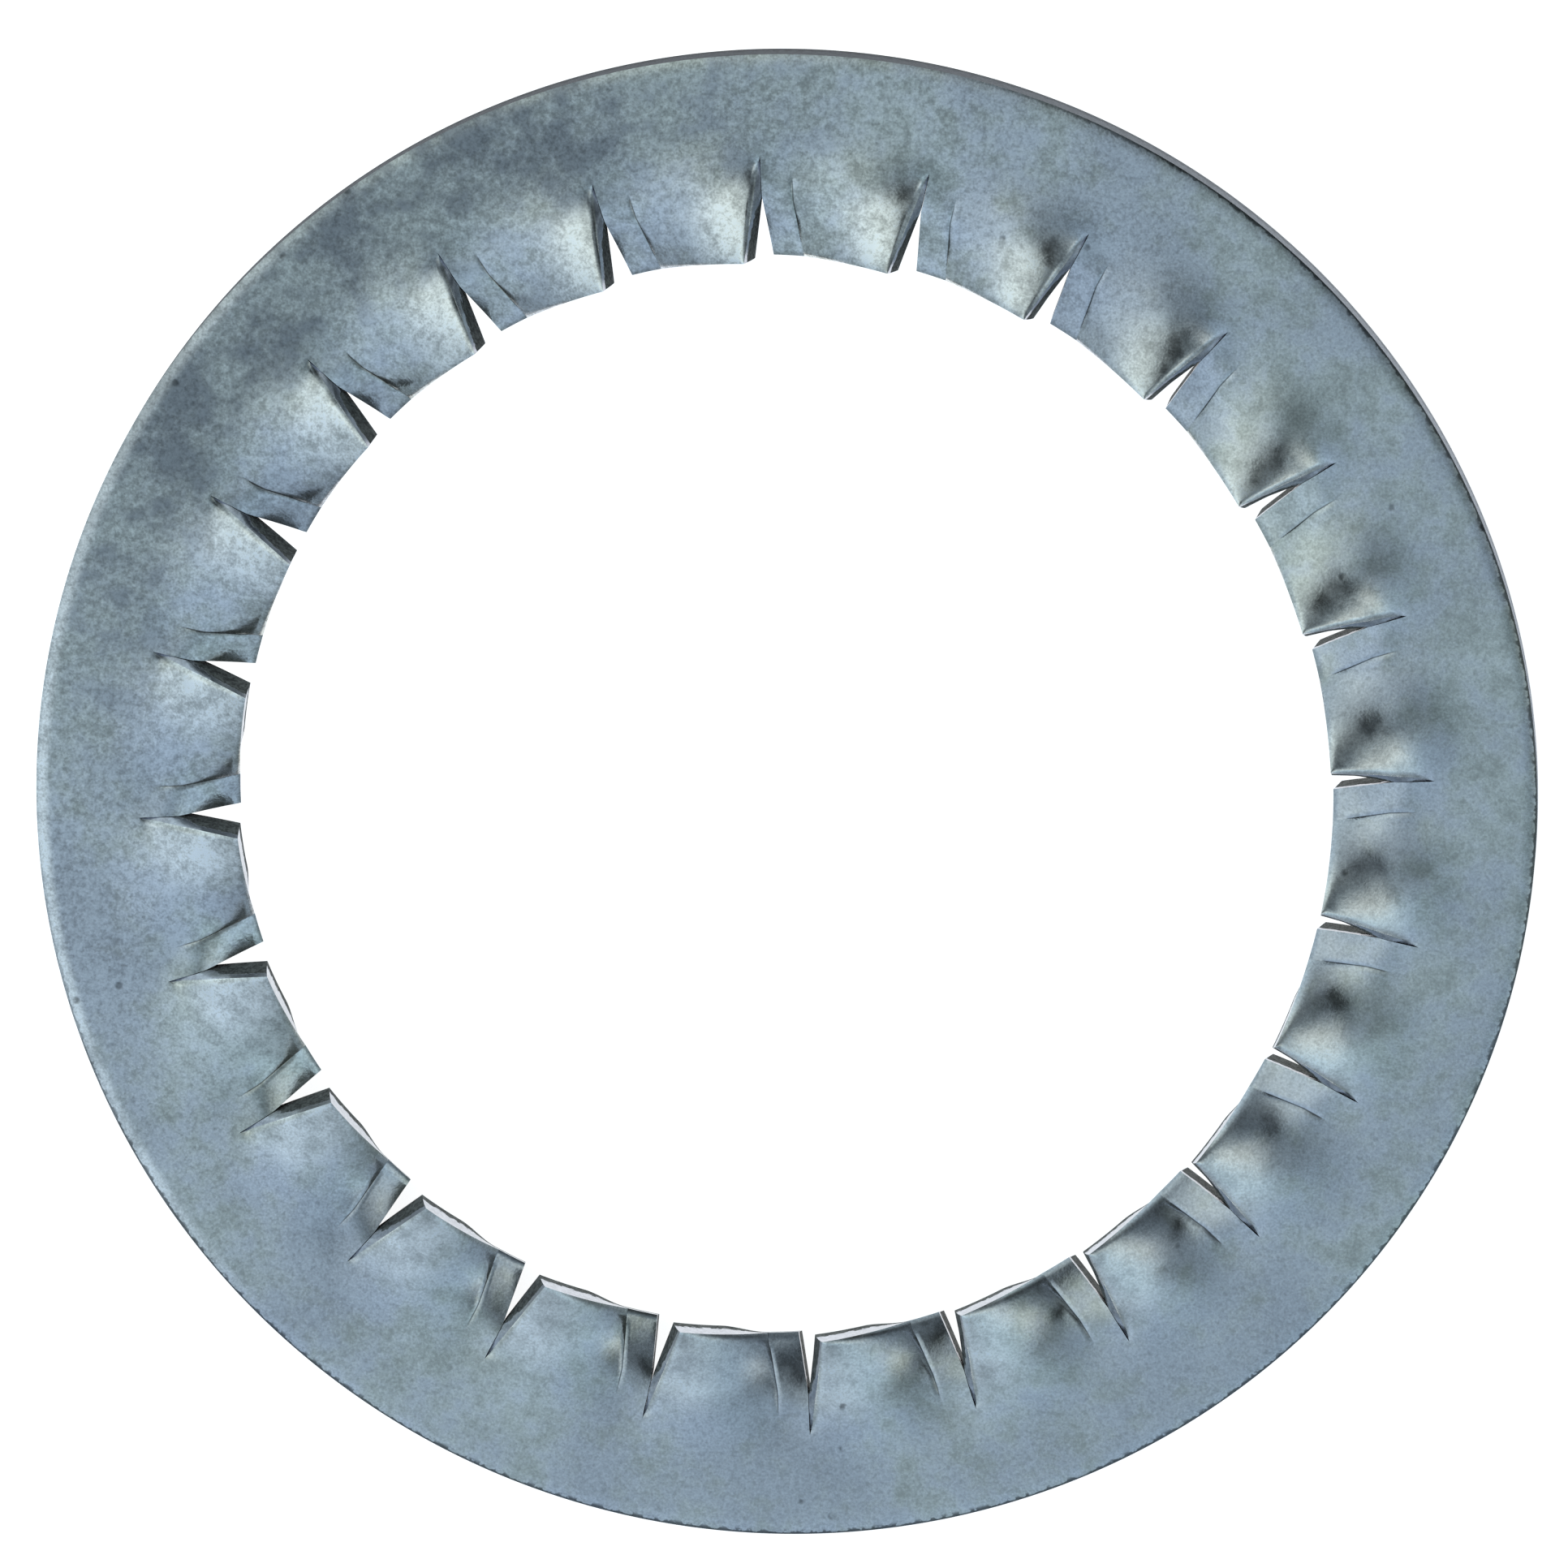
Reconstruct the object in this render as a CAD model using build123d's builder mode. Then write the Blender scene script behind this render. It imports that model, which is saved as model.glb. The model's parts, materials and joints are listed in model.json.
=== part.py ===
"""Toothed lock washer with internal teeth.

A flat ring of spring steel. Slits are lanced from the bore outwards without
removing metal, and each tooth between two slits is set: seen from above, its
clockwise edge is bent up and its anticlockwise edge is pressed down. Turned over
about the tooth's own centre line, a tooth looks the same.

The ring lies flat, +Z is the washer's axis and the lowest tooth corners are at Z 0.
"""

import os
from math import cos, radians, tan

from build123d import *

# Ring
bore_diameter = 20.4
tooth_length = 1.9
band_width = 1.9
sheet_thickness = 0.80
rim_roll_width = 0.30
rim_roll_depth = 0.10

# Teeth
tooth_count = 24
slit_width = 0.03
raised_height = 0.68
pressed_depth = 0.48
tip_rise = 0.90

# Section of a tooth at its tip, where the set is largest
strip_width = 0.58
strip_slope = 14.0
strip_draw_in = 0.15
edge_draw_in = 0.34
field_slope = 38.0
field_sweep = 0.60
crown_slope = 20.0
crown_sweep = 0.60

# Number of sections that the tooth is lofted through, and how far it is made too long
section_count = 4
trim_allowance = 0.25

# Derived sizes
half_pitch = 180 / tooth_count
half_thickness = sheet_thickness / 2
mid_height = pressed_depth + half_thickness
bore_radius = bore_diameter / 2
slit_radius = bore_radius + tooth_length
outer_radius = slit_radius + band_width
root_plane = slit_radius * cos(radians(half_pitch))
tip_plane = bore_radius - trim_allowance
set_length = tooth_length * cos(radians(half_pitch))
tooth_lift = (raised_height - pressed_depth) / 2

def tooth_progress(distance):
    """How far along the tooth a distance from the axis is: 0 at the root, 1 at the tip's corners."""
    return (root_plane - distance) / set_length

def set_share(progress):
    """Share of the full set: flat at first, then steep."""
    return progress**2 * ((3 - tip_rise) - (2 - tip_rise) * progress)

def upper_outline(distance):
    """Upper outline of the tooth's section at a distance from the axis, from the middle of the sheet.

    The pressed strip is straight, from the anticlockwise edge to the crease. The field is a cubic
    curve that leaves the crease steeply near the tip and flattens out towards the raised edge.
    Bending draws the strip's edge in near the tip, and the raised edge is drawn in all along.
    """
    progress = tooth_progress(distance)
    share = set_share(progress)
    half_width = distance * tan(radians(half_pitch)) - slit_width / 2
    strip_edge = Vector(strip_draw_in * share**2 - half_width, half_thickness - pressed_depth * share)
    crease = strip_edge + Vector(strip_width, strip_width * tan(radians(strip_slope)) * share)
    raised_edge = Vector(half_width - edge_draw_in * progress, half_thickness + raised_height * share)
    field_pull = crease + Vector(field_sweep, field_sweep * tan(radians(field_slope)) * share**2)
    crown_pull = raised_edge - Vector(crown_sweep, crown_sweep * tan(radians(crown_slope)) * share)
    return strip_edge, crease, field_pull, crown_pull, raised_edge

def tooth_section(distance):
    """Section across the tooth. Its underside is its upper side after half a turn."""
    turning_point = Vector(0, tooth_lift * set_share(tooth_progress(distance)))
    upper = upper_outline(distance)
    lower = [turning_point * 2 - point for point in upper]
    with BuildSketch(Plane((distance, 0, mid_height), x_dir=(0, -1, 0), z_dir=(-1, 0, 0))) as section:
        with BuildLine():
            Line(upper[0], upper[1])
            Bezier(*upper[1:])
            Line(upper[4], lower[0])
            Line(lower[0], lower[1])
            Bezier(*lower[1:])
            Line(lower[4], upper[0])
        make_face()
    return section.sketch

# Flat ring, with a facet for the root of each tooth and a rim that falls away on top
with BuildPart() as ring:
    with BuildSketch(Plane.XY.offset(mid_height - half_thickness)):
        Circle(outer_radius)
        RegularPolygon(
            root_plane,
            tooth_count,
            major_radius=False,
            rotation=half_pitch,
            mode=Mode.SUBTRACT,
        )
    extrude(amount=sheet_thickness)
    top = ring.faces().sort_by(Axis.Z)[-1]
    chamfer(top.outer_wire().edges(), rim_roll_width, rim_roll_depth, reference=top)

# One tooth on the +X side, lofted inwards from its root and left too long
with BuildPart() as tooth:
    step = (root_plane - tip_plane) / (section_count - 1)
    loft([tooth_section(root_plane - index * step) for index in range(section_count)])

# Whole washer: the teeth joined to the ring and cut back to the bore
with BuildPart() as toothed_washer:
    add(ring.part)
    with PolarLocations(0, tooth_count):
        add(tooth.part)
    with Locations((0, 0, mid_height)):
        Hole(bore_radius)

toothed_washer.part.label = "toothed_washer"
os.makedirs("parts", exist_ok=True)
export_step(toothed_washer.part, "parts/toothed_washer.step")
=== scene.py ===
"""Dresses the toothed lock washer: a fine mesh of its set teeth, its plated finish and its studio."""

import json
import math

import bpy
from mathutils import Matrix, Vector


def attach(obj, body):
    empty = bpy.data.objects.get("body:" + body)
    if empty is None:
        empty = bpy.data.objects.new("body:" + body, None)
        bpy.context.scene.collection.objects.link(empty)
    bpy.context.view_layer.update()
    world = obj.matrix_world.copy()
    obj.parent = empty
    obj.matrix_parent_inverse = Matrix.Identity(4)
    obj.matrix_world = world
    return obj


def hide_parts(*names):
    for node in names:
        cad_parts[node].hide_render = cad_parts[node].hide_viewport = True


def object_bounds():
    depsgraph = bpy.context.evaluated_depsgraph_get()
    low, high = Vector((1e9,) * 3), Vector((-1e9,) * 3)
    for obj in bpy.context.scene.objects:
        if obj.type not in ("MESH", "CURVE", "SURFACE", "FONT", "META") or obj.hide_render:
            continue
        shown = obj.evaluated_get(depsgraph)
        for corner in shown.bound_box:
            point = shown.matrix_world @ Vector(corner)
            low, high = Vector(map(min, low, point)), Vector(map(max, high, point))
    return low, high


bl_info = {
    "name": "Toothed lock washer",
    "version": (1, 0, 0),
    "blender": (4, 5, 0),
    "location": "3D View > Sidebar > Washer",
    "description": "Builds a lock washer with lanced internal teeth, its plated finish and a studio",
    "category": "Add Mesh",
}

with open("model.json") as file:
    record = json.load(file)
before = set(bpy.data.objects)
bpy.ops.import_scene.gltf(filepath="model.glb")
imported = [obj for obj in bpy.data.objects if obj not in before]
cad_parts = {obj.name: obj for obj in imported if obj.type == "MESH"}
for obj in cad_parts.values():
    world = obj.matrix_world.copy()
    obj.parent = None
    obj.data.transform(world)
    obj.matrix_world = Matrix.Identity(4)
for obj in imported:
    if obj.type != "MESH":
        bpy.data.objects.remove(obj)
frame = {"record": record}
cad_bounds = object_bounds()
mounts = {mount["name"]: mount for mount in frame["record"]["mounts"]}

MM = 0.001
WASHER_NODE = "toothed_washer"
BODY = "root"

OUTER_RADIUS = cad_bounds[1].x
BORE_RADIUS = mounts["bore"]["dims"]["r_mm"] * MM
RING_TOP = mounts["upper_face"]["pos_m"][2]
RING_BOTTOM = mounts["lower_face"]["pos_m"][2]

# Share of the sheet below which a cut edge is torn and no longer burnished
TORN_FROM = 0.40

# Depth written to the outer edge, which was blanked and not lanced
BLANKED_FROM = 1.6


# Sizes and colours that a user would change


class WasherSizes(bpy.types.PropertyGroup):
    """Sizes of the washer."""

    tooth_count: bpy.props.IntProperty(
        name="Tooth count", description="Number of teeth round the bore", default=24, min=3
    )
    tooth_length: bpy.props.FloatProperty(
        name="Tooth length", description="Length of the slits, from the bore outwards",
        default=1.9 * MM, unit="LENGTH", precision=5,
    )
    raised_height: bpy.props.FloatProperty(
        name="Raised height", description="Height of a tooth's raised corner above the ring",
        default=0.67 * MM, unit="LENGTH", precision=5,
    )
    crown_reach: bpy.props.FloatProperty(
        name="Crown reach", description="How far past the slits the sheet starts to rise",
        default=0.70 * MM, unit="LENGTH", precision=5,
    )
    crown_bend: bpy.props.FloatProperty(
        name="Crown bend", description="Length of the bend in which a tooth starts to rise",
        default=1.0 * MM, unit="LENGTH", precision=5,
    )
    crown_steepening: bpy.props.FloatProperty(
        name="Crown steepening", description="Length that sets how fast a tooth gets steeper to its tip",
        default=0.5 * MM, unit="LENGTH", precision=5,
    )
    shoulder_roll: bpy.props.FloatProperty(
        name="Shoulder roll",
        description="Fall towards the raised edge near the slit's end, in crest heights",
        default=0.3, min=0, max=1,
    )
    strip_width: bpy.props.FloatProperty(
        name="Strip width", description="Width of the pressed strip along each tooth",
        default=0.58 * MM, unit="LENGTH", precision=5,
    )
    strip_fall: bpy.props.FloatProperty(
        name="Strip fall", description="How far the strip's edge is pressed down at the tip",
        default=0.37 * MM, unit="LENGTH", precision=5,
    )
    strip_start: bpy.props.FloatProperty(
        name="Strip start", description="Share of the tooth's length at which the strip starts to fall",
        default=0.20, min=0, max=1,
    )
    crease_fall: bpy.props.FloatProperty(
        name="Crease fall", description="Depth of the crease at the tip, as a share of the strip's edge's",
        default=0.60, min=0, max=1,
    )
    strip_draw_in: bpy.props.FloatProperty(
        name="Strip draw-in", description="How far the strip's edge moves inwards at the tip",
        default=0.15 * MM, unit="LENGTH", precision=5,
    )
    draw_in_start: bpy.props.FloatProperty(
        name="Draw-in start", description="Share of the tooth's length at which its slits open",
        default=0.42, min=0, max=1,
    )
    edge_draw_in: bpy.props.FloatProperty(
        name="Edge draw-in", description="How far the raised edge moves inwards at the tip",
        default=0.32 * MM, unit="LENGTH", precision=5,
    )
    slit_gap: bpy.props.FloatProperty(
        name="Slit gap", description="Half of the gap between two teeth where they aren't drawn in",
        default=0.006 * MM, unit="LENGTH", precision=6,
    )
    edge_roll: bpy.props.FloatProperty(
        name="Edge roll", description="Depth of the rounded edge along each cut",
        default=0.04 * MM, unit="LENGTH", precision=6,
    )
    edge_roll_width: bpy.props.FloatProperty(
        name="Edge roll width", description="Width of the rounded edge along each cut",
        default=0.11 * MM, unit="LENGTH", precision=6,
    )
    tip_undercut: bpy.props.FloatProperty(
        name="Tip undercut", description="How far the underside stands back below the strip's tip",
        default=0.14 * MM, unit="LENGTH", precision=6,
    )
    crease_depth: bpy.props.FloatProperty(
        name="Crease depth", description="Depth of the scored line between strip and field",
        default=0.010 * MM, unit="LENGTH", precision=6,
    )
    crease_width: bpy.props.FloatProperty(
        name="Crease width", description="Half of the width of the scored line",
        default=0.018 * MM, unit="LENGTH", precision=6,
    )
    rim_roll_width: bpy.props.FloatProperty(
        name="Rim roll width", description="Width over which the ring falls to its outer edge",
        default=0.30 * MM, unit="LENGTH", precision=5,
    )
    rim_roll_depth: bpy.props.FloatProperty(
        name="Rim roll depth", description="How far the ring falls at its outer edge",
        default=0.035 * MM, unit="LENGTH", precision=5,
    )


class WasherFinish(bpy.types.PropertyGroup):
    """Colours and roughness of the finish, and where its painted shade patch and painted highlights lie."""

    zinc: bpy.props.FloatVectorProperty(
        name="Zinc", description="Colour of the bright plating",
        subtype="COLOR", size=3, min=0, max=1, default=(0.625, 0.635, 0.69),
    )
    green_zinc: bpy.props.FloatVectorProperty(
        name="Green zinc", description="Colour of the bright plating in its greenish patches",
        subtype="COLOR", size=3, min=0, max=1, default=(0.65, 0.665, 0.62),
    )
    # Dull zinc is mixed in where the plating is tarnished in clouds, and as painted shade in the dark patch
    # at the upper left
    dull_zinc: bpy.props.FloatVectorProperty(
        name="Dull zinc", description="Colour of the plating where it is tarnished",
        subtype="COLOR", size=3, min=0, max=1, default=(0.46, 0.48, 0.50),
    )
    # Painted highlight: a cream colour laid along the teeth's raised edges and on one stretch of the rim
    highlight_zinc: bpy.props.FloatVectorProperty(
        name="Rubbed zinc", description="Colour of the plating where it is rubbed clean",
        subtype="COLOR", size=3, min=0, max=1, default=(0.90, 0.885, 0.85),
    )
    fracture: bpy.props.FloatVectorProperty(
        name="Fracture", description="Colour of the torn part of a cut edge",
        subtype="COLOR", size=3, min=0, max=1, default=(0.12, 0.125, 0.12),
    )
    roughness: bpy.props.FloatProperty(
        name="Roughness", description="Roughness of the bright plating", default=0.16, min=0, max=1
    )
    # Painted shade: a blotchy dark patch at the upper left, laid into the plating's colour round this
    # middle
    shade_patch_place: bpy.props.FloatVectorProperty(
        name="Stain place", description="Middle of the dark stain, on the picture's axes",
        size=3, default=(-9.0 * MM, 10.0 * MM, 1.3 * MM), unit="LENGTH", precision=5,
    )
    # Middle of the stretch of the rim that gets the painted highlight
    highlight_place: bpy.props.FloatVectorProperty(
        name="Rubbed place", description="Middle of the rim's rubbed stretch, on the picture's axes",
        size=3, default=(-14.0 * MM, 1.0 * MM, 1.3 * MM), unit="LENGTH", precision=5,
    )
    # Radius of the painted shade patch
    shade_patch_size: bpy.props.FloatProperty(
        name="Stain size", description="Radius of the dark stain",
        default=14.0 * MM, unit="LENGTH", precision=5,
    )


class WasherStudio(bpy.types.PropertyGroup):
    """Camera and floor."""

    camera_distance: bpy.props.FloatProperty(
        name="Camera distance", description="From the middle of the ring to the lens",
        default=0.350, unit="LENGTH",
    )
    camera_tilt: bpy.props.FloatProperty(
        name="Camera tilt", description="Angle between the line of sight and the washer's axis",
        default=math.radians(10.7), subtype="ANGLE",
    )
    camera_side: bpy.props.FloatProperty(
        name="Camera side", description="Side the camera leans to, clockwise from the top of the picture",
        default=math.radians(17.5), subtype="ANGLE",
    )
    picture_turn: bpy.props.FloatProperty(
        name="Picture turn", description="Turn of the picture's top edge from the washer's +Y",
        default=math.radians(5.57), subtype="ANGLE",
    )
    floor_size: bpy.props.FloatProperty(
        name="Floor size", description="Side of the pale floor", default=0.6, unit="LENGTH"
    )


# Form of a tooth. Every function works in the tooth's own plan: distance along its centre
# line from the axis, and across from it, positive towards the raised edge. A place across
# the tooth runs from -1 at the strip's edge, over 0 at the crease, to 1 at the raised edge


def smooth(value):
    """0 below 0, 1 above 1 and an S-curve between."""
    value = min(max(value, 0.0), 1.0)
    return value * value * (3 - 2 * value)


def mix(first, second, share):
    """Value between two values."""
    return first + (second - first) * share


def even(count, start=0.0, end=1.0):
    """Evenly spread values from start to end, both included."""
    return [mix(start, end, index / (count - 1)) for index in range(count)]


class ToothForm:
    """Outlines and heights of one tooth, worked out from the washer's sizes."""

    # Progress over which a slit comes to its full gap
    slit_taper = 0.05
    # Power of the progress by which the raised edge is drawn in
    draw_in_power = 0.95
    # The swell round the slits' end: its highest place, in half sectors from the middle, how far it
    # dips between the teeth, and the progress at which the tooth has its own form
    swell_place = 0.305
    swell_dip = 0.25
    swell_end = 0.446
    # Progress at which the strip is fully pressed, just past the tip
    strip_end = 1.05
    # The field's arch: how far it turns, its power at the slits' end and at the tip, and the share
    # of it that is straight at the tip
    arch_turn = 1.13 * math.pi / 2
    arch_powers = (2.2, 0.75)
    tip_straightness = 0.92
    # Power by which the crease's depth fades across the field
    crease_power = 1.44
    # The shoulder: its width as a share of the field, and the progress over which it sets in
    shoulder_width = 0.15
    shoulder_taper = 1 / 12
    # Progress over which the rounded edge sets in
    edge_roll_taper = 1 / 6
    # Progress at which the scored line starts and ends, and how steeply it fades there
    score_start, score_end = 0.15, 0.90
    score_fades = (8, 12)
    # Where the painted highlight starts across the field, over which share of it, and over which progress
    highlight_start = 0.30
    highlight_width = 0.5
    highlight_taper = 0.4
    # Reach of the undercut from the tip, in undercuts, and the share of the field that has it
    undercut_reach = 4
    undercut_width = 0.5

    def __init__(self, sizes):
        self.sizes = sizes
        self.half_pitch = math.pi / sizes.tooth_count
        self.slit_radius = BORE_RADIUS + sizes.tooth_length
        self.slit_end = self.slit_radius * math.cos(self.half_pitch)

    def progress(self, distance):
        """0 at the slits' outer end, 1 at the middle of the tip and below 0 in the ring."""
        return (self.slit_end - distance) / (self.slit_end - BORE_RADIUS)

    def opening(self, distance):
        """0 where the slits are closed, 1 at the tip."""
        start = self.sizes.draw_in_start
        return max(self.progress(distance) - start, 0.0) / (1 - start)

    def across(self, distance, place, under):
        """Position of a place across the tooth, on its upper side or its underside."""
        sizes = self.sizes
        on_tooth = max(self.progress(distance), 0.0)
        gap = sizes.slit_gap * smooth(on_tooth / self.slit_taper)
        half_width = distance * math.tan(self.half_pitch) - gap
        drawn = sizes.strip_draw_in * self.opening(distance)
        crease = drawn - half_width + sizes.strip_width
        if place <= 0:
            return crease + place * sizes.strip_width
        raised_drawn = drawn
        if not under:
            raised_drawn = max(sizes.edge_draw_in * on_tooth**self.draw_in_power, drawn)
        return mix(crease, half_width - raised_drawn, place)

    def crown(self, distance):
        """Height of the tooth's crest, which starts in the ring and gets steeper towards the tip."""
        sizes = self.sizes

        def rise(run):
            run = max(run, 0.0)
            return math.hypot(run, sizes.crown_bend) - sizes.crown_bend + run**2 / sizes.crown_steepening

        start = self.slit_radius + sizes.crown_reach
        return sizes.raised_height * rise(start - distance) / rise(start - BORE_RADIUS)

    def swell(self, place):
        """Share of the crest's height round the slits' outer end, equal at both edges of a sector."""
        crease = self.sizes.strip_width / (self.slit_radius * math.tan(self.half_pitch)) - 1
        turn = mix(crease, 1.0, place) if place > 0 else crease + place * (1 + crease)
        wave = (1 + math.cos(math.pi * (turn - self.swell_place))) / 2
        return mix(-self.swell_dip, 1.0, wave)

    def set_height(self, progress, place, crown):
        """Height of the set tooth: its pressed strip or its raised field."""
        sizes = self.sizes
        pressed = smooth((progress - sizes.strip_start) / (self.strip_end - sizes.strip_start))
        fall = sizes.strip_fall * pressed
        crease = -fall * sizes.crease_fall
        if place <= 0:
            return mix(crease, -fall, -place)
        arch = math.sin(self.arch_turn * place) ** mix(*self.arch_powers, progress)
        raised = mix(arch, place, self.tip_straightness * progress**3)
        return crease * (1 - place) ** self.crease_power + crown * raised

    def height(self, distance, place):
        """Height of the sheet against the flat ring, without its small rounded edges."""
        progress = min(max(self.progress(distance), 0.0), 1.0)
        crown = self.crown(distance)
        own = self.set_height(progress, place, crown)
        near_edge = max(1 - (1 - place) / self.shoulder_width, 0.0) ** 2
        roll = near_edge * smooth(progress / self.shoulder_taper) * (1 - progress) ** 2
        formed = mix(crown * self.swell(place), own, smooth(progress / self.swell_end))
        return formed - crown * self.sizes.shoulder_roll * roll

    def point_at(self, radius, place, under=False):
        """Plan point whose distance from the washer's axis is radius: (distance, across)."""
        distance = radius
        for _ in range(4):
            across = self.across(distance, place, under)
            distance = math.sqrt(radius**2 - across**2)
        return distance, across

    def rounded_edges(self, radius, distance, across):
        """Depth by which the upper side falls away to the raised edge and to the tip."""
        sizes = self.sizes
        to_edge = self.across(distance, 1.0, False) - across
        at_edge = max(1 - to_edge / sizes.edge_roll_width, 0.0) ** 2
        at_tip = max(1 - (radius - BORE_RADIUS) / sizes.edge_roll_width, 0.0) ** 2
        at_edge *= smooth(self.progress(distance) / self.edge_roll_taper)
        return sizes.edge_roll * max(at_edge, at_tip)

    def crease_share(self, distance):
        """How deep the scored line is. It fades out at the tip and at the slits' outer end."""
        progress = self.progress(distance)
        outer_fade, inner_fade = self.score_fades
        starting = smooth((progress - self.score_start) * outer_fade)
        return starting * smooth((self.score_end - progress) * inner_fade)

    def painted_highlight_share(self, distance, place):
        """How strong the painted highlight is, most of all along the raised edge."""
        to_edge = smooth((place - self.highlight_start) / self.highlight_width)
        return to_edge * smooth(self.progress(distance) / self.highlight_taper)

    def upper_point(self, radius, place):
        """Point of the upper side in plan, with its height in the row frame."""
        distance, across = self.point_at(radius, place)
        height = self.height(distance, place) - self.rounded_edges(radius, distance, across)
        if place == 0:
            height -= self.sizes.crease_depth * self.crease_share(distance)
        return distance, across, RING_TOP + height

    def lower_point(self, radius, place):
        """Point of the underside, which keeps the sheet's thickness below the upper side."""
        undercut = self.sizes.tip_undercut
        near_tip = max(1 - (radius - BORE_RADIUS) / (undercut * self.undercut_reach), 0.0)
        back = undercut * smooth(1 - max(place, 0.0) / self.undercut_width) * near_tip
        distance, across = self.point_at(radius + back, place, under=True)
        return distance, across, RING_BOTTOM + self.height(distance, place)


# Mesh of one sector: a tooth and its share of the ring


class Sector:
    """Vertices and faces of one sector on the +X side, with what its materials read."""

    # Columns across the strip and the field, and the extra ones near the raised edge
    strip_columns = 8
    field_columns = 25
    first_field_column = 0.008
    edge_columns = (0.945, 0.975, 0.99)
    # Rows of the tooth, as shares of its length, and of the flat ring, as shares of its width
    tip_rows = (0.0, 0.006, 0.015, 0.03, 0.055, 0.09)
    middle_rows = 20
    middle_ends = (0.125, 0.95)
    root_rows = (0.98, 1.0)
    ring_rows = (0.05, 0.1, 0.16, 0.23, 0.31, 0.4, 0.6, 0.8, 1.0)
    # Rows of the rolled rim, and the powers of its fall and of the painted shade line at its edge
    roll_rows = 7
    roll_power = 2.5
    rim_shade_line_power = 8
    # Share of the roll over which its painted highlight sets in
    rim_highlight_width = 0.625
    # Least and greatest depth of a cut wall's hinge, the rows of the leaf above it, and its curve
    hinge_least, hinge_most = 0.03, 0.9
    leaf_rows = (0.33, 0.67, 1.0)
    leaf_power = 0.8
    # How much more of a wall is torn along a slit, and at the tip, as shares of the sheet
    slit_torn = 0.35
    tip_torn = -0.25

    def __init__(self, sizes):
        self.sizes = sizes
        self.form = ToothForm(sizes)
        self.vertices = []
        self.faces = []
        self.cut_faces = []
        self.depths = []
        self.creases = []
        self.painted_highlight = []
        self.columns = self.column_places()
        self.radii = self.tooth_radii()
        self.build()

    def column_places(self):
        """Places of the columns, closer together at the crease and at the raised edge."""
        nudge = self.sizes.crease_width / self.sizes.strip_width
        strip = even(self.strip_columns, -1.0, -nudge)
        field = even(self.field_columns, self.first_field_column, 1.0)
        return strip + [0.0] + sorted(field + list(self.edge_columns))

    def tooth_radii(self):
        """Rows of the tooth from the bore to the slits' outer end, closer together at both."""
        middle = even(self.middle_rows, *self.middle_ends)
        shares = [*self.tip_rows, *middle, *self.root_rows]
        return [BORE_RADIUS + self.sizes.tooth_length * share for share in shares]

    def ring_radii(self):
        """Rows of the flat ring, closer together where it is drawn up."""
        start = self.form.slit_radius
        end = OUTER_RADIUS - self.sizes.rim_roll_width
        return [mix(start, end, share) for share in self.ring_rows]

    def vertex(self, distance, across, height, depth, crease=0.0, painted_highlight=0.0):
        """Adds a vertex. Positive across is clockwise seen from above, which is -Y here."""
        self.vertices.append((distance, -across, height))
        self.depths.append(depth)
        self.creases.append(crease)
        self.painted_highlight.append(painted_highlight)
        return len(self.vertices) - 1

    def upper_row(self, radius):
        """Row of the upper side, from the strip's edge to the raised edge."""
        row = []
        for place in self.columns:
            distance, across, height = self.form.upper_point(radius, place)
            crease = self.form.crease_share(distance) if place == 0 else 0.0
            painted_highlight = self.form.painted_highlight_share(distance, place)
            row.append(self.vertex(distance, across, height, 0.0, crease, painted_highlight))
        return row

    def lower_row(self, radius):
        """Row of the underside, in the same order across."""
        return [self.vertex(*self.form.lower_point(radius, place), 1.0) for place in self.columns]

    def plain_row(self, radius, height, depth, painted_highlight=0.0):
        """Row on a circle round the axis."""
        points = [self.form.point_at(radius, place) for place in self.columns]
        return [self.vertex(*point, height, depth, painted_highlight=painted_highlight) for point in points]

    def rim_row(self, share):
        """Row of the rolled rim, from the flat ring at 0 to the outer edge at 1."""
        radius = OUTER_RADIUS - self.sizes.rim_roll_width * (1 - share)
        # This depth also sets the painted shade line along the rim's edge in the plating
        depth = BLANKED_FROM * share**self.rim_shade_line_power
        height = RING_TOP - self.sizes.rim_roll_depth * share**self.roll_power
        return self.plain_row(radius, height, depth, smooth(share / self.rim_highlight_width))

    def wall_shares(self, radius):
        """Depths of a cut wall's rows and how far each has leaned out, as shares of the whole."""
        raised = self.form.height(radius, 1.0) - self.form.height(radius, -1.0)
        hinge = min(max(raised / (RING_TOP - RING_BOTTOM), self.hinge_least), self.hinge_most)
        leaf = [(hinge * share, share**self.leaf_power) for share in self.leaf_rows]
        return leaf + [((1 + hinge) / 2, 1.0)]

    def between(self, upper, lower, depth, lean, torn):
        """Row of a cut wall at a depth below its upper edge."""
        row = []
        for first, second in zip(upper, lower):
            start, end = Vector(self.vertices[first]), Vector(self.vertices[second])
            point = start.lerp(end, lean)
            radius = mix(start.xy.length, end.xy.length, depth)
            point.xy = point.xy.normalized() * radius
            row.append(self.vertex(point.x, -point.y, mix(start.z, end.z, depth), depth + torn))
        return row

    def end_wall(self, upper, lower, radius, torn):
        """Inner rows of the cut wall across the tooth at a radius."""
        return [self.between(upper, lower, *shares, torn) for shares in self.wall_shares(radius)]

    def sheet(self, rows, cut=False):
        """Faces between rows, which face up where each row lies outside the one before."""
        for row, following in zip(rows, rows[1:]):
            for column in range(len(row) - 1):
                face = (row[column], row[column + 1], following[column + 1], following[column])
                self.faces.append(face)
                self.cut_faces.append(cut)

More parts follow.
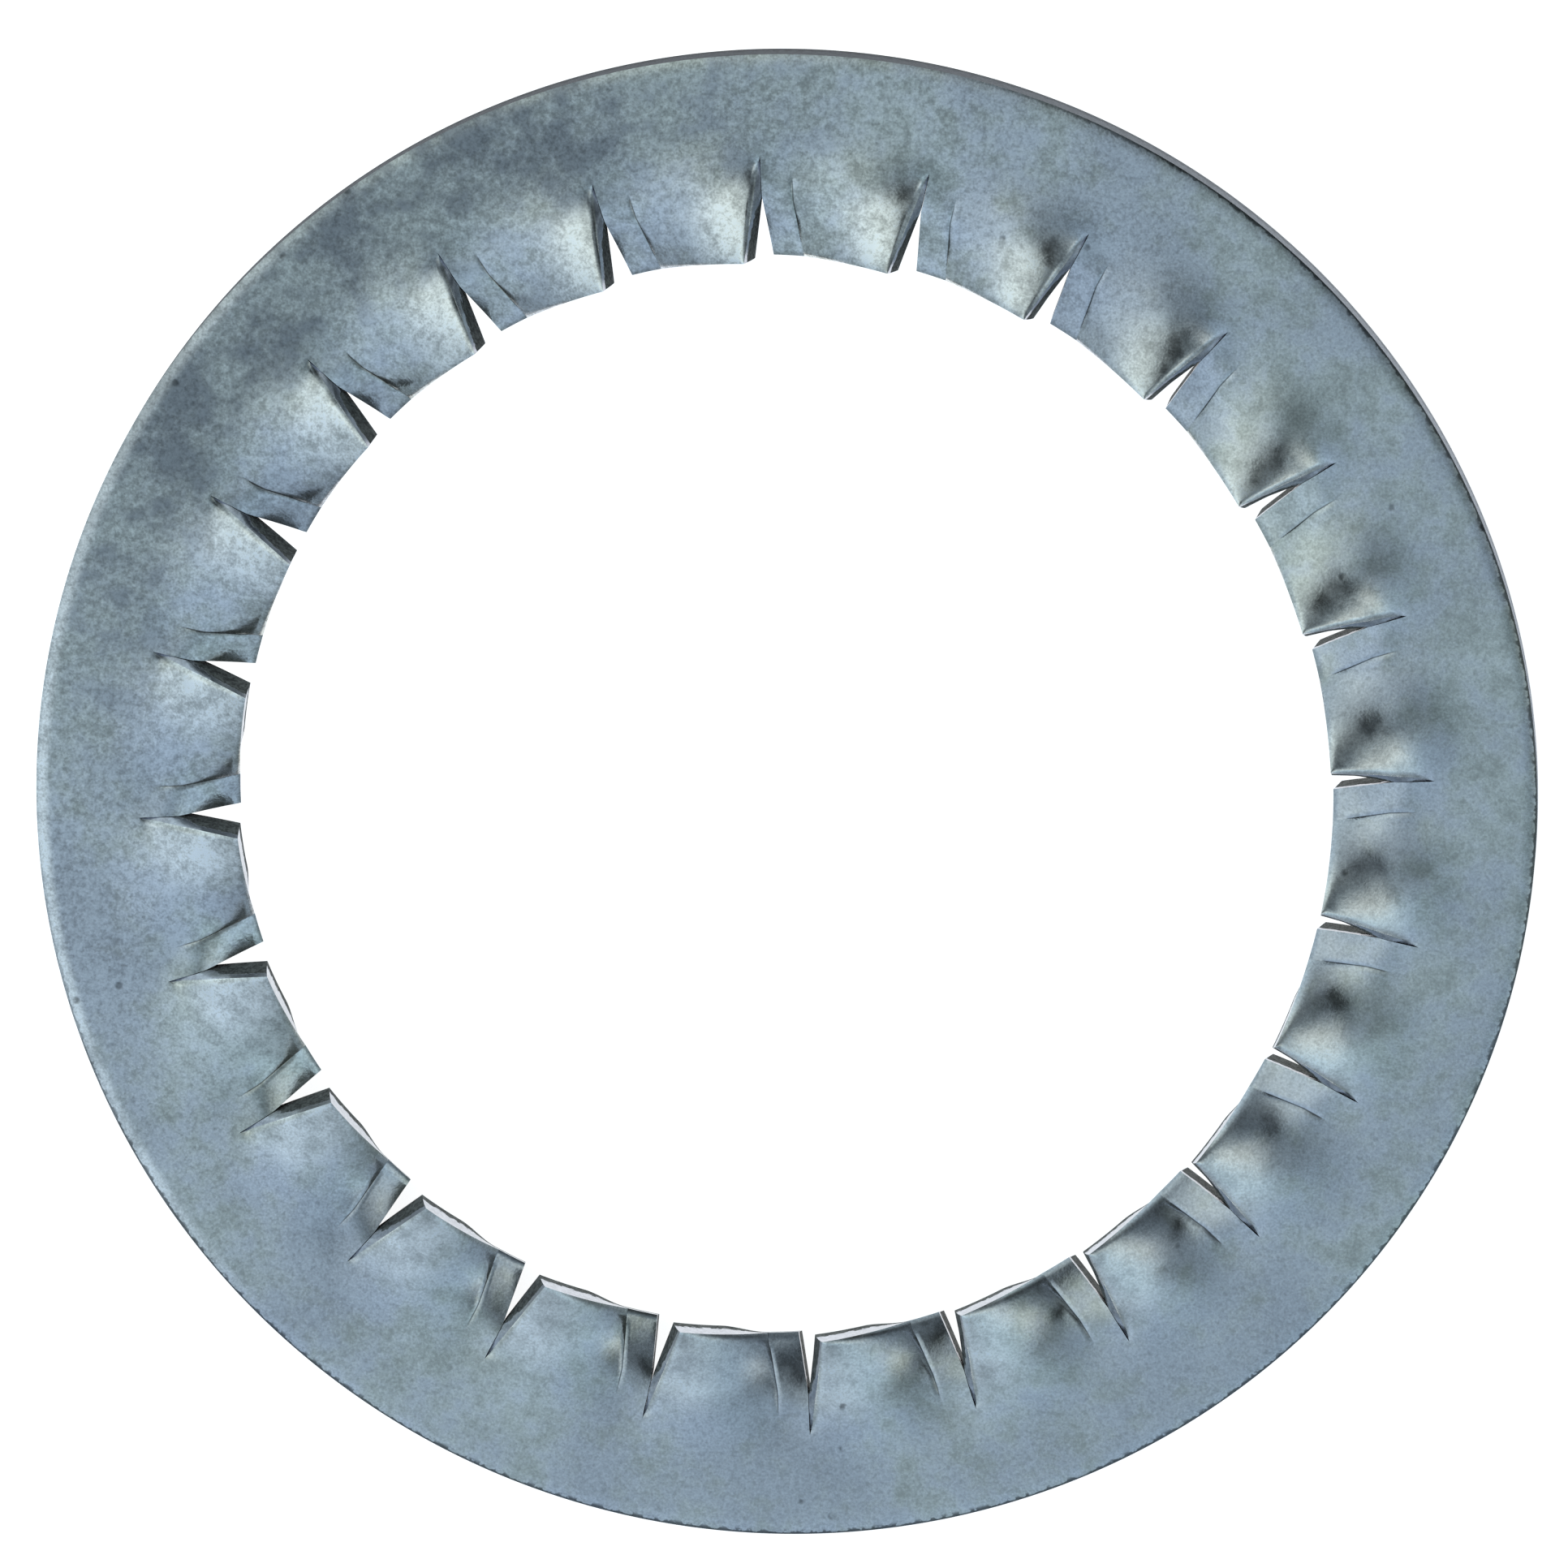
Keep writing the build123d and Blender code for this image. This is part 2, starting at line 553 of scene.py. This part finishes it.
    def build(self):
        """Adds the upper side, the rim, the underside, the tip and the two lanced walls."""
        upper = [self.upper_row(radius) for radius in self.radii]
        ring = self.ring_radii()
        outer = [self.upper_row(radius) for radius in ring]
        outer += [self.rim_row(share) for share in even(self.roll_rows)[1:]]
        under_rim = self.plain_row(OUTER_RADIUS, RING_BOTTOM, BLANKED_FROM)
        under_ring = [self.lower_row(radius) for radius in reversed(ring[:-1:2])]
        lower = [self.lower_row(radius) for radius in self.radii]
        tip = self.end_wall(upper[0], lower[0], self.radii[0], self.tip_torn)
        self.sheet(upper + outer)
        self.sheet([outer[-1], under_rim], cut=True)
        self.sheet([under_rim] + under_ring + lower[::-1])
        self.sheet([lower[0]] + tip[::-1] + [upper[0]], cut=True)
        for side, turned in ((0, True), (-1, False)):
            self.lanced_wall(upper, lower, tip, side, turned)

    def lanced_wall(self, upper, lower, tip, side, turned):
        """Wall between the upper and lower edge of the tooth on one side."""
        lines = []
        for index, (top, bottom) in enumerate(zip(upper, lower)):
            if index == 0:
                inner = [row[side] for row in tip]
            else:
                torn = self.slit_torn * smooth(self.form.progress(self.radii[index]))
                wall = self.end_wall([top[side]], [bottom[side]], self.radii[index], torn)
                inner = [row[0] for row in wall]
            lines.append([top[side]] + inner + [bottom[side]])
        self.sheet(lines[::-1] if turned else lines, cut=True)

    def to_mesh(self, name):
        """Mesh with the depth, the crease, the painted highlight and the cut faces as attributes."""
        mesh = bpy.data.meshes.new(name)
        mesh.from_pydata(self.vertices, [], self.faces)
        layers = {"cut_depth": self.depths, "crease": self.creases, "painted_highlight": self.painted_highlight}
        for label, values in layers.items():
            attribute = mesh.attributes.new(label, "FLOAT", "POINT")
            attribute.data.foreach_set("value", values)
        attribute = mesh.attributes.new("cut_face", "BOOLEAN", "FACE")
        attribute.data.foreach_set("value", self.cut_faces)
        mesh.shade_smooth()
        return mesh


# Wiring of nodes


class Wiring:
    """Small helpers to wire the nodes of a tree."""

    def __init__(self, tree):
        self.nodes = tree.nodes
        self.links = tree.links

    def feed(self, socket, value):
        """Links an output to a socket, or sets its value."""
        if isinstance(value, bpy.types.NodeSocket):
            self.links.new(value, socket)
        else:
            socket.default_value = value

    def node(self, kind, **inputs):
        """New node with values or links for its inputs, whose names have underscores for spaces."""
        node = self.nodes.new(kind)
        for name, value in inputs.items():
            self.feed(node.inputs[name.replace("_", " ")], value)
        return node

    def math(self, operation, *values):
        """Output of a Math node."""
        node = self.nodes.new("ShaderNodeMath")
        node.operation = operation
        for socket, value in zip(node.inputs, values):
            self.feed(socket, value)
        return node.outputs[0]

    def blend(self, *layers):
        """Sum of values, each given with its weight."""
        total = 0.0
        for value, weight in layers:
            total = self.math("MULTIPLY_ADD", value, weight, total)
        return total

    def ramp(self, value, low, high, start=0.0, end=1.0):
        """Value brought smoothly from low..high to start..end."""
        node = self.node("ShaderNodeMapRange", Value=value, From_Min=low, From_Max=high)
        node.interpolation_type = "SMOOTHSTEP"
        self.feed(node.inputs["To Min"], start)
        self.feed(node.inputs["To Max"], end)
        return node.outputs["Result"]

    def vector_math(self, operation, first, second=None):
        """Vector Math node."""
        node = self.nodes.new("ShaderNodeVectorMath")
        node.operation = operation
        self.feed(node.inputs[0], first)
        if second is not None:
            self.feed(node.inputs[1], second)
        return node

    def shade(self, colour, strength):
        """Colour multiplied by a value."""
        node = self.vector_math("SCALE", colour)
        self.feed(node.inputs["Scale"], strength)
        return node.outputs[0]

    def mix(self, share, first, second):
        """Colour between two colours, whose sockets are the sixth and seventh after the share's."""
        node = self.nodes.new("ShaderNodeMix")
        node.data_type = "RGBA"
        for index, value in ((0, share), (6, first), (7, second)):
            self.feed(node.inputs[index], value)
        return node.outputs[2]


# Geometry Nodes that repeat the sector round the axis


def ring_of_sectors_tree():
    """Tree that sets copies of a sector round the Z axis, joins them and gives them their materials."""
    tree = bpy.data.node_groups.new("Ring of sectors", "GeometryNodeTree")
    inputs = {
        "Geometry": "Geometry", "Count": "Int", "Join Distance": "Float",
        "Plated": "Material", "Lanced": "Material",
    }
    for name, kind in inputs.items():
        tree.interface.new_socket(name, in_out="INPUT", socket_type=f"NodeSocket{kind}")
    tree.interface.new_socket("Geometry", in_out="OUTPUT", socket_type="NodeSocketGeometry")
    made = Wiring(tree)
    given = made.nodes.new("NodeGroupInput").outputs
    points = made.node("GeometryNodePoints", Count=given["Count"])
    pitch = made.math("DIVIDE", math.tau, given["Count"])
    index = made.nodes.new("GeometryNodeInputIndex")
    rotation = made.node("ShaderNodeCombineXYZ", Z=made.math("MULTIPLY", index.outputs[0], pitch))
    copies = made.node("GeometryNodeInstanceOnPoints", Points=points.outputs[0], Instance=given["Geometry"])
    made.feed(copies.inputs["Rotation"], rotation.outputs[0])
    real = made.node("GeometryNodeRealizeInstances", Geometry=copies.outputs[0])
    joined = made.node("GeometryNodeMergeByDistance", Geometry=real.outputs[0])
    made.feed(joined.inputs["Distance"], given["Join Distance"])
    plated = made.node("GeometryNodeSetMaterial", Geometry=joined.outputs[0], Material=given["Plated"])
    is_cut = made.nodes.new("GeometryNodeInputNamedAttribute")
    is_cut.data_type = "BOOLEAN"
    is_cut.inputs["Name"].default_value = "cut_face"
    lanced = made.node("GeometryNodeSetMaterial", Geometry=plated.outputs[0], Material=given["Lanced"])
    made.feed(lanced.inputs["Selection"], is_cut.outputs["Attribute"])
    made.node("NodeGroupOutput", Geometry=lanced.outputs[0])
    return tree


def set_input(modifier, name, value):
    """Sets a modifier's input by its socket's identifier."""
    for item in modifier.node_group.interface.items_tree:
        if item.item_type == "SOCKET" and item.in_out == "INPUT" and item.name == name:
            modifier[item.identifier] = value
            return
    raise KeyError(f"the tree has no input named {name}")


def bake(source, name):
    """Plain mesh object of an object with a Geometry Nodes modifier, which is then deleted."""
    evaluated = source.evaluated_get(bpy.context.evaluated_depsgraph_get())
    mesh = bpy.data.meshes.new_from_object(evaluated)
    mesh.name = name
    baked = bpy.data.objects.new(name, mesh)
    bpy.context.scene.collection.objects.link(baked)
    bpy.data.objects.remove(source)
    return baked


# Finishes


def from_picture(across, up, out):
    """Direction in the row frame of one on the picture's axes: right, top and the washer's axis."""
    turn = bpy.context.scene.washer_studio.picture_turn
    return Matrix.Rotation(turn, 3, "Z") @ Vector((across, up, out))


def solid(colour):
    """Colour with full alpha."""
    return (*colour, 1.0)


def grain_group():
    """Node group for the grain of the plating: grain, specks, mottling and clouds, each round 0.5."""
    # Name, size, detail and contrast of each layer
    layers = (
        ("Grain", 0.045 * MM, 1.0, 1.6),
        ("Speck", 0.13 * MM, 2.0, 1.5),
        ("Mottle", 0.50 * MM, 3.0, 1.4),
        ("Clouds", 3.2 * MM, 3.0, 1.3),
    )
    group = bpy.data.node_groups.new("Plating grain", "ShaderNodeTree")
    for name, size, _, _ in layers:
        socket = group.interface.new_socket(f"{name} Size", in_out="INPUT", socket_type="NodeSocketFloat")
        socket.default_value = size
        group.interface.new_socket(name, in_out="OUTPUT", socket_type="NodeSocketFloat")
    made = Wiring(group)
    start = made.nodes.new("NodeGroupInput")
    end = made.nodes.new("NodeGroupOutput")
    place = made.nodes.new("ShaderNodeTexCoord").outputs["Object"]
    for name, _, detail, contrast in layers:
        scale = made.math("DIVIDE", 1.0, start.outputs[f"{name} Size"])
        noise = made.node("ShaderNodeTexNoise", Vector=place, Scale=scale, Detail=detail)
        stretched = made.math("MULTIPLY_ADD", noise.outputs["Fac"], contrast, (1 - contrast) / 2)
        made.feed(end.inputs[name], stretched)
    return group


class Finish(Wiring):
    """A Principled material."""

    def __init__(self, name):
        self.material = bpy.data.materials.new(name)
        self.material.use_nodes = True
        super().__init__(self.material.node_tree)
        self.shader = self.nodes["Principled BSDF"]

    def set(self, **inputs):
        """Gives the shader values or links, by names that have underscores for spaces."""
        for name, value in inputs.items():
            self.feed(self.shader.inputs[name.replace("_", " ")], value)

    def attribute(self, name):
        """Value of a mesh attribute."""
        node = self.nodes.new("ShaderNodeAttribute")
        node.attribute_name = name
        return node.outputs["Fac"]

    def bump(self, height, distance):
        """Gives the shader a relief."""
        relief = self.node("ShaderNodeBump", Height=height, Strength=1.0, Distance=distance)
        self.set(Normal=relief.outputs[0])


class SteelFinish(Finish):
    """A finish of the washer's steel, with the layers of the grain and the distance from the painted shade
    patch.
    """

    def __init__(self, name, finish, grain):
        super().__init__(name)
        self.finish = finish
        texture = self.nodes.new("ShaderNodeGroup")
        texture.node_tree = grain
        self.fine, self.speck = texture.outputs["Grain"], texture.outputs["Speck"]
        self.mottle, self.clouds = texture.outputs["Mottle"], texture.outputs["Clouds"]
        self.place = self.nodes.new("ShaderNodeTexCoord").outputs["Object"]
        self.from_shade_patch = self.distance_from(finish.shade_patch_place)

    def distance_from(self, point):
        """Distance from a point that is given on the picture's axes."""
        return self.vector_math("DISTANCE", self.place, from_picture(*point)).outputs["Value"]

    def radius(self):
        """Distance from the washer's axis."""
        flattened = self.node("ShaderNodeMapping", Vector=self.place, Scale=(1.0, 1.0, 0.0))
        return self.vector_math("LENGTH", flattened.outputs[0]).outputs["Value"]


def pit_mask(made):
    """1 in the small pits, about one to a millimetre, where the mottling is pale."""
    cells = made.node("ShaderNodeTexVoronoi", Vector=made.place, Scale=1 / MM)
    hole = made.ramp(cells.outputs["Distance"], 0.04, 0.10, 1.0, 0.0)
    return made.math("MULTIPLY", hole, made.ramp(made.mottle, 0.45, 0.6))


def scratch_mask(made):
    """1 on the faint scratches, which all run one way."""
    stretched = made.node("ShaderNodeMapping", Vector=made.place, Rotation=(0.0, 0.0, 0.7))
    made.feed(stretched.inputs["Scale"], (0.4, 14.0, 1.0))
    lines = made.node("ShaderNodeTexNoise", Vector=stretched.outputs[0], Scale=0.9 / MM, Detail=2.0)
    line = made.ramp(lines.outputs["Fac"], 0.66, 0.72)
    return made.math("MULTIPLY", line, made.ramp(made.clouds, 0.45, 0.6))


def shade_patch_mask(made, radius):
    """How dark the painted shade patch is: blotchy, deepest near its middle and weak on the teeth."""
    teeth_end, ring_start = 11.6 * MM, 12.7 * MM
    size = made.finish.shade_patch_size
    near = made.ramp(made.from_shade_patch, size * 0.2, size, 1.0, 0.0)
    on_ring = made.ramp(radius, teeth_end, ring_start, 0.25, 1.0)
    blotch = made.ramp(made.blend((made.mottle, 0.6), (made.clouds, 0.4)), 0.32, 0.66, 0.25, 1.0)
    return made.math("MULTIPLY", near, made.math("MULTIPLY", on_ring, blotch))


def tarnish_and_shade_mask(made, shade_patch):
    """How dull the plating is in clouds, with the painted shade patch added."""
    dull = made.ramp(made.blend((made.clouds, 0.55), (made.mottle, 0.45)), 0.46, 0.66, 0.0, 0.6)
    return made.math("ADD", dull, made.math("MULTIPLY", shade_patch, 0.5))


def zinc_colour(made, shade_patch, tarnish_and_shade):
    """Colour of the plating as it lies: green, blue and dull zinc; the painted shade patch is greener and
    duller.
    """
    shades = made.blend((made.clouds, 0.60), (made.mottle, 0.35), (made.speck, 0.05), (shade_patch, -0.15))
    finish = made.finish
    colour = made.mix(made.ramp(shades, 0.34, 0.66), solid(finish.green_zinc), solid(finish.zinc))
    return made.mix(tarnish_and_shade, colour, solid(finish.dull_zinc))


def painted_highlight_mask(made, radius):
    """Where the painted highlight lies: the teeth's raised edges and one stretch of the rim."""
    flat_end, rim_start = 13.5 * MM, 13.6 * MM
    stretch_end, bare_from = 8.0 * MM, 12.0 * MM
    on_rim = made.ramp(radius, flat_end, rim_start)
    off_stretch = made.ramp(made.distance_from(made.finish.highlight_place), stretch_end, bare_from)
    kept = made.math("SUBTRACT", 1.0, made.math("MULTIPLY", on_rim, off_stretch))
    painted_highlight = made.math("MULTIPLY", made.attribute("painted_highlight"), made.ramp(made.mottle, 0.2, 0.6, 0.7, 1.0))
    return made.math("MULTIPLY", painted_highlight, kept)


def grain_light(made):
    """Light and dark of the grain round 1, strongest near the painted shade patch."""
    strong_to, weak_from = 8.0 * MM, 26.0 * MM
    layers = made.blend((made.fine, 0.27), (made.speck, 0.35), (made.mottle, 0.38))
    light = made.ramp(layers, 0.22, 0.78, -0.36, 0.36)
    contrast = made.ramp(made.from_shade_patch, strong_to, weak_from, 1.2, 0.8)
    return made.math("ADD", made.math("MULTIPLY", light, contrast), 1.0)


def rim_shade_line_mask(made):
    """How dark the painted shade line at the rim's edge is: uneven, faint near the painted shade patch at
    the upper left and strongest away from it.
    """
    faint_to, full_from = 10.0 * MM, 18.0 * MM
    edge = made.math("ADD", made.attribute("cut_depth"), made.ramp(made.speck, 0.3, 0.7, -0.4, 0.4))
    strength = made.ramp(made.from_shade_patch, faint_to, full_from, 0.1, 0.78)
    return made.math("MULTIPLY", made.ramp(edge, 0.2, 0.9), strength)


def plated_finish(finish, grain):
    """Satin zinc plating: grained, mottled green and blue, pitted and scratched, with painted shade in a
    dark patch, along the crease and at the rim's edge, and painted highlights on the raised edges and a
    stretch of the rim.
    """
    made = SteelFinish("plated_steel", finish, grain)
    radius = made.radius()
    pit, shade_patch = pit_mask(made), shade_patch_mask(made, radius)
    tarnish_and_shade = tarnish_and_shade_mask(made, shade_patch)
    colour = zinc_colour(made, shade_patch, tarnish_and_shade)
    # Painted highlight: cream colour on the teeth's raised edges and on one stretch of the rim
    colour = made.mix(painted_highlight_mask(made, radius), colour, solid(finish.highlight_zinc))
    # Painted shade: the dark patch brings the colour down to about half at its middle
    colour = made.shade(made.shade(colour, grain_light(made)), made.ramp(shade_patch, 0.0, 1.0, 1.0, 0.52))
    # Painted shade along the scored crease; the pits are darkened as dark specks of the plating
    crease = made.math("MULTIPLY", made.attribute("crease"), 0.7)
    pits_and_crease_shade = made.math("MAXIMUM", made.math("MULTIPLY", pit, 0.55), crease)
    # Darkens by the painted shades of the crease and the rim's edge, and by the pits
    for dark in (pits_and_crease_shade, rim_shade_line_mask(made)):
        colour = made.shade(colour, made.math("SUBTRACT", 1.0, dark))
    satin = made.ramp(made.mottle, 0.3, 0.7, finish.roughness - 0.03, finish.roughness + 0.05)
    roughness = made.math("ADD", satin, made.math("MULTIPLY", tarnish_and_shade, 0.06))
    made.set(Base_Color=colour, Metallic=1.0, Roughness=roughness)
    scratch = scratch_mask(made)
    relief = ((made.fine, 0.5), (made.speck, 0.9), (made.mottle, 1.6), (pit, -1.5), (scratch, -0.15))
    made.bump(made.blend(*relief), 0.0014 * MM)
    return made.material


def rim_shade_and_tear(made, rough):
    """Lightness of the blanked rim: painted shade that darkens it near the dark patch at the upper left and
    leaves it light away from it, and darker and torn along its lower part.
    """
    dark_to, light_from, waver = 10.0 * MM, 25.0 * MM, 0.05 * MM
    # Painted shade: darker towards the upper left, lighter towards the lower right
    light = made.ramp(made.from_shade_patch, dark_to, light_from, 0.17, 0.74)
    level = made.node("ShaderNodeSeparateXYZ", Vector=made.place).outputs["Z"]
    level = made.math("ADD", level, made.ramp(made.speck, 0.3, 0.7, -waver, waver))
    torn_top, smooth_from = (mix(RING_BOTTOM, RING_TOP, share) for share in (0.30, 0.40))
    torn = made.ramp(level, torn_top, smooth_from, 0.72, 1.0)
    speckled = made.ramp(rough, 0.3, 0.7, 0.86, 1.14)
    return made.math("MULTIPLY", light, made.math("MULTIPLY", torn, speckled))


def lanced_finish(finish, grain):
    """Cut edges: the lanced walls, burnished by the punch and then torn, and the blanked rim."""
    made = SteelFinish("lanced_edge", finish, grain)
    cut_depth = made.attribute("cut_depth")
    depth = made.math("ADD", cut_depth, made.ramp(made.speck, 0.3, 0.7, -0.06, 0.06))
    torn = made.ramp(depth, TORN_FROM - 0.05, TORN_FROM + 0.03)
    rough = made.blend((made.fine, 0.5), (made.speck, 0.5))
    speckled = made.ramp(rough, 0.3, 0.7, -1.0, 1.0)
    light = made.blend((speckled, 0.12), (made.math("MULTIPLY", speckled, torn), 0.28), (1.0, 0.85))
    wall = made.shade(made.mix(torn, solid(finish.zinc), solid(finish.fracture)), light)
    blanked = made.ramp(cut_depth, BLANKED_FROM - 0.3, BLANKED_FROM)
    colour = made.mix(blanked, wall, made.shade(finish.zinc, rim_shade_and_tear(made, rough)))
    metallic = made.ramp(torn, 0.0, 1.0, 1.0, 0.0)
    roughness = made.ramp(torn, 0.0, 1.0, 0.28, 0.65)
    made.set(Base_Color=colour, Metallic=metallic, Roughness=roughness, Specular_IOR_Level=0.05)
    relief = made.blend((made.fine, 0.6), (made.speck, 1.0))
    made.bump(made.math("MULTIPLY", relief, made.ramp(torn, 0.0, 1.0, 0.15, 1.0)), 0.006 * MM)
    return made.material


# Studio

# Soft lights: direction on the picture's axes, sharpness and colour
LIGHTS = (
    ((-0.127, 0.320, 0.939), 9.8, (0.594, 0.647, 0.557)),
    ((0.415, -0.148, 0.897), 15.5, (2.082, 2.896, 3.426)),
    ((0.001, -0.250, 0.968), 3.5, (0.672, 0.874, 1.106)),
    ((-0.075, 0.719, -0.691), 1.1, (0.788, 0.980, 1.051)),
    ((0.523, -0.049, 0.851), 49.4, (2.254, 2.142, 1.700)),
)
# Soft shades: direction on the picture's axes, sharpness and share of the light that is taken
SHADES = (
    ((0.301, 0.272, 0.914), 86.6, 0.90),
    ((0.335, -0.064, 0.940), 1.9, 0.96),
    ((0.237, 0.436, 0.868), 122.6, 0.92),
    ((0.640, 0.640, 0.430), 7.0, 0.90),
)
# Light from every other direction
HORIZON = (0.004, 0.006, 0.008)
# Share of the light that the plating throws back, which the studio makes up for
PLATING_SHARE = 0.61
WHITE = (1.0, 1.0, 1.0, 1.0)


def glow(made, direction, centre, sharpness):
    """1 along a direction, falling off round it."""
    centre = from_picture(*Vector(centre).normalized())
    dot = made.vector_math("DOT_PRODUCT", direction, centre).outputs["Value"]
    return made.math("EXPONENT", made.math("MULTIPLY_ADD", dot, sharpness, -sharpness))


def studio_sky(world):
    """Soft lights and shades by direction, and plain white where the camera looks past the washer."""
    world.use_nodes = True
    made = Wiring(world.node_tree)
    direction = made.nodes.new("ShaderNodeTexCoord").outputs["Generated"]
    total = [channel / PLATING_SHARE for channel in HORIZON]
    for centre, sharpness, colour in LIGHTS:
        full = [channel / PLATING_SHARE for channel in colour]
        light = made.shade(full, glow(made, direction, centre, sharpness))
        total = made.vector_math("ADD", total, light).outputs[0]
    for centre, sharpness, taken in SHADES:
        left = made.math("MULTIPLY_ADD", glow(made, direction, centre, sharpness), -taken, 1.0)
        total = made.shade(total, left)
    seen = made.nodes.new("ShaderNodeLightPath").outputs["Is Camera Ray"]
    made.feed(made.nodes["Background"].inputs["Color"], made.mix(seen, total, WHITE))


def make_floor(studio):
    """Pale floor, lit from within like a light table."""
    half = studio.floor_size / 2
    corners = [(-half, -half, 0), (half, -half, 0), (half, half, 0), (-half, half, 0)]
    mesh = bpy.data.meshes.new("floor")
    mesh.from_pydata(corners, [], [(0, 1, 2, 3)])
    floor = bpy.data.objects.new("floor", mesh)
    bpy.context.scene.collection.objects.link(floor)
    finish = Finish("pale_floor")
    finish.set(Base_Color=(0.8, 0.8, 0.8, 1.0), Roughness=1.0, Specular_IOR_Level=0.0)
    finish.set(Emission_Color=WHITE, Emission_Strength=0.85)
    mesh.materials.append(finish.material)


def make_camera(studio):
    """Camera nearly straight above the washer, leaning to the top of the picture."""
    # Width of the picture, and the outer edge's radius and middle in it, in pixels
    picture_width = 1932
    ring_radius = 926.3
    ring_centre = Vector((967.3, 985.3))
    tilt, side = studio.camera_tilt, studio.camera_side
    toward = Vector((math.sin(tilt) * math.sin(side), math.sin(tilt) * math.cos(side), math.cos(tilt)))
    level = Vector((math.cos(side), -math.sin(side), 0.0))
    upright = toward.cross(level)
    right = level * math.cos(side) + upright * math.sin(side)
    top = upright * math.cos(side) - level * math.sin(side)
    data = bpy.data.cameras.new("camera")
    data.sensor_width = 36.0
    data.lens = data.sensor_width * studio.camera_distance * ring_radius / (picture_width * OUTER_RADIUS)
    data.shift_x = (picture_width / 2 - ring_centre.x) / picture_width
    data.shift_y = (ring_centre.y - picture_width / 2) / picture_width
    data.clip_start = studio.camera_distance / 100
    camera = bpy.data.objects.new("camera", data)
    bpy.context.scene.collection.objects.link(camera)
    axes = [from_picture(*axis) for axis in (right, top, toward)]
    turned = Matrix(axes).transposed().to_4x4()
    aim = Vector((0.0, 0.0, RING_TOP))
    camera.matrix_world = Matrix.Translation(aim + axes[2] * studio.camera_distance) @ turned
    bpy.context.scene.camera = camera


# Operators, panel and registration


class WASHER_OT_toothed_ring(bpy.types.Operator):
    """Build the toothed ring from one sector, repeated round the axis"""

    bl_idname = "washer.toothed_ring"
    bl_label = "Toothed ring"

    # Gap under which neighbouring sectors are joined, and the angle from which an edge is sharp
    join_distance = 0.0004 * MM
    sharp_from = math.radians(35)

    def execute(self, context):
        sizes, finish = context.scene.washer_sizes, context.scene.washer_finish
        grain = grain_group()
        source = bpy.data.objects.new("sector", Sector(sizes).to_mesh("sector"))
        context.scene.collection.objects.link(source)
        modifier = source.modifiers.new("Ring of sectors", "NODES")
        modifier.node_group = ring_of_sectors_tree()
        set_input(modifier, "Count", sizes.tooth_count)
        set_input(modifier, "Join Distance", self.join_distance)
        set_input(modifier, "Plated", plated_finish(finish, grain))
        set_input(modifier, "Lanced", lanced_finish(finish, grain))
        ring = bake(source, "toothed_ring")
        ring.data.set_sharp_from_angle(angle=self.sharp_from)
        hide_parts(WASHER_NODE)
        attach(ring, BODY)
        return {"FINISHED"}


class WASHER_OT_studio(bpy.types.Operator):
    """Set up the floor, the soft light and the camera"""

    bl_idname = "washer.studio"
    bl_label = "Studio"

    def execute(self, context):
        studio = context.scene.washer_studio
        scene = context.scene
        scene.world = bpy.data.worlds.new("studio")
        studio_sky(scene.world)
        make_floor(studio)
        make_camera(studio)
        scene.view_settings.view_transform = "Standard"
        return {"FINISHED"}


class WASHER_PT_sidebar(bpy.types.Panel):
    """Sizes, finish and studio of the washer"""

    bl_label = "Toothed lock washer"
    bl_idname = "WASHER_PT_sidebar"
    bl_space_type = "VIEW_3D"
    bl_region_type = "UI"
    bl_category = "Washer"

    def draw(self, context):
        layout = self.layout
        for label, group in (
            ("Sizes", context.scene.washer_sizes),
            ("Finish", context.scene.washer_finish),
            ("Studio", context.scene.washer_studio),
        ):
            box = layout.box()
            box.label(text=label)
            for name in group.__annotations__:
                box.prop(group, name)
        layout.operator(WASHER_OT_toothed_ring.bl_idname)
        layout.operator(WASHER_OT_studio.bl_idname)


CLASSES = (
    WasherSizes,
    WasherFinish,
    WasherStudio,
    WASHER_OT_toothed_ring,
    WASHER_OT_studio,
    WASHER_PT_sidebar,
)


def register():
    for cls in CLASSES:
        bpy.utils.register_class(cls)
    bpy.types.Scene.washer_sizes = bpy.props.PointerProperty(type=WasherSizes)
    bpy.types.Scene.washer_finish = bpy.props.PointerProperty(type=WasherFinish)
    bpy.types.Scene.washer_studio = bpy.props.PointerProperty(type=WasherStudio)


def unregister():
    del bpy.types.Scene.washer_sizes
    del bpy.types.Scene.washer_finish
    del bpy.types.Scene.washer_studio
    for cls in reversed(CLASSES):
        bpy.utils.unregister_class(cls)


def main():
    """Builds everything."""
    register()
    bpy.ops.washer.toothed_ring()
    bpy.ops.washer.studio()


if __name__ == "__main__":
    main()
